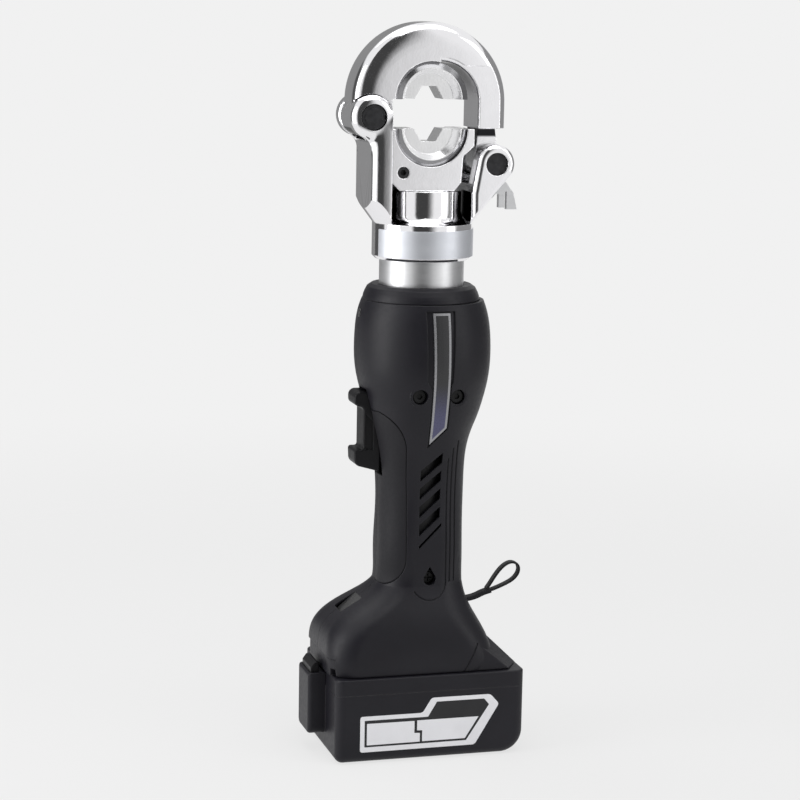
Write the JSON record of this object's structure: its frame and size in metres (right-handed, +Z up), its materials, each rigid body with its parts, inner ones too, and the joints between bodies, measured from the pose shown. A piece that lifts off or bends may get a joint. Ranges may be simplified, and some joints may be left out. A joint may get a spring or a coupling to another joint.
{
  "type": "battery cable crimper",
  "caption": "Slim upright hydraulic crimping tool with a hinged, latched jaw on a swivel head, a ram with dies, a front trigger and a slide-in battery base.",
  "frame": {"origin": "on the battery's flat base, where the tool's long axis meets it", "axes": "+Z up along the tool's long axis, -X to the trigger's side, -Y to the tool's left side"},
  "size_m": [0.1267, 0.075, 0.406],
  "materials": {
    "chrome": "polished",
    "bright_steel": "satin",
    "dark_steel": "black oxide",
    "white_label": "satin label",
    "strip_label": "printed strip",
    "shell_plastic": "fine texture",
    "grip_rubber": "soft touch",
    "trigger_plastic": "satin",
    "clear_plastic": "clear",
    "smoke_plastic": "smoked",
    "board": "laminate",
    "copper": "bare",
    "pump_alloy": "machined",
    "seal_rubber": "moulded",
    "webbing": "woven",
    "cell_sleeve": "sleeved"
  },
  "bodies": {
    "tool": {"housing_left": "shell_plastic", "housing_right": "shell_plastic", "grip_pad_left": "grip_rubber", "grip_pad_right": "grip_rubber", "nose_collar": "shell_plastic", "name_plate": "strip_label", "pump_screws": "dark_steel", "grip_screw": "dark_steel", "trigger_switch": "shell_plastic", "work_light_lens": "clear_plastic", "indicator_lens": "smoke_plastic", "control_board": "board", "terminal_block": "shell_plastic", "terminal_blades": "copper", "wrist_strap": "webbing", "strap_ferrule": "webbing", "motor_can": "bright_steel", "motor_endcap": "shell_plastic", "motor_magnets": "dark_steel", "gear_case": "pump_alloy", "main_bearing": "bright_steel", "pump_body": "pump_alloy", "pump_plunger": "bright_steel", "oil_bladder": "seal_rubber", "neck_cylinder": "bright_steel", "swivel_ring": "bright_steel", "spring_rod": "bright_steel", "return_spring": "bright_steel"},
    "head": {"yoke": "chrome", "head_band": "white_label", "hinge_pin": "dark_steel", "hinge_clips": "bright_steel"},
    "ram": {"ram_piston": "bright_steel", "piston_seal": "seal_rubber", "ram_saddle": "chrome", "lower_die": "bright_steel", "lower_die_screw": "dark_steel"},
    "jaw": {"upper_jaw": "chrome", "upper_die": "bright_steel"},
    "latch": {"latch_pin": "dark_steel", "latch_lever": "bright_steel"},
    "trigger": {"trigger": "trigger_plastic"},
    "battery": {"battery_base": "shell_plastic", "battery_cover": "shell_plastic", "battery_cells": "cell_sleeve", "cell_holders": "shell_plastic", "battery_board": "board", "battery_contacts": "copper", "battery_screws": "dark_steel", "button_spring": "bright_steel"},
    "button": {"battery_button": "trigger_plastic"},
    "motor": {"motor_shaft": "bright_steel", "armature": "copper", "sun_gear": "bright_steel"},
    "carrier": {"planet_carrier": "bright_steel", "eccentric_bearing": "bright_steel"},
    "planet_1": {"planet_gear_1": "bright_steel"},
    "planet_2": {"planet_gear_2": "bright_steel"},
    "planet_3": {"planet_gear_3": "bright_steel"}
  },
  "joints": [
    {"name": "head_swivel", "type": "hinge", "parent": "tool", "child": "head", "pos_m": [0, 0, 0.285], "axis": [0, 0, 1], "range_deg": [-175, 175]},
    {"name": "ram_slide", "type": "slide", "parent": "head", "child": "ram", "axis": [0, 0, 1], "range_m": [0, 0.0158], "stiffness_N_per_m": 1500, "deforming": ["return_spring"]},
    {"name": "jaw_hinge", "type": "hinge", "parent": "head", "child": "jaw", "pos_m": [-0.034, 0, 0.355], "axis": [0, -1, 0], "range_deg": [0, 100]},
    {"name": "latch_turn", "type": "hinge", "parent": "head", "child": "latch", "pos_m": [0.0357, 0, 0.33], "axis": [0, -1, 0], "range_deg": [0, 90]},
    {"name": "trigger_slide", "type": "slide", "parent": "tool", "child": "trigger", "axis": [1, 0, 0], "range_m": [0, 0.005], "stiffness_N_per_m": 900},
    {"name": "battery_slide", "type": "slide", "parent": "tool", "child": "battery", "axis": [-1, 0, 0], "range_m": [0, 0.115]},
    {"name": "button_slide", "type": "slide", "parent": "battery", "child": "button", "axis": [0, 0, -1], "range_m": [0, 0.004], "stiffness_N_per_m": 900, "deforming": ["button_spring"]},
    {"name": "motor_spin", "type": "hinge", "parent": "tool", "child": "motor", "pos_m": [0, 0, 0.13], "axis": [0, 0, 1], "continuous": true},
    {"name": "carrier_spin", "type": "hinge", "parent": "tool", "child": "carrier", "pos_m": [0, 0, 0.18], "axis": [0, 0, 1], "continuous": true},
    {"name": "planet_1_spin", "type": "hinge", "parent": "carrier", "child": "planet_1", "pos_m": [0, 0.00975, 0.17], "axis": [0, 0, 1], "continuous": true},
    {"name": "planet_2_spin", "type": "hinge", "parent": "carrier", "child": "planet_2", "pos_m": [-0.00844, -0.00487, 0.17], "axis": [0, 0, 1], "continuous": true},
    {"name": "planet_3_spin", "type": "hinge", "parent": "carrier", "child": "planet_3", "pos_m": [0.00844, -0.00487, 0.17], "axis": [0, 0, 1], "continuous": true}
  ],
  "couplings": [
    {"joint": "carrier_spin", "follows": "motor_spin", "ratio": 0.2},
    {"joint": "planet_1_spin", "follows": "motor_spin", "ratio": -0.53333},
    {"joint": "planet_2_spin", "follows": "motor_spin", "ratio": -0.53333},
    {"joint": "planet_3_spin", "follows": "motor_spin", "ratio": -0.53333}
  ]
}
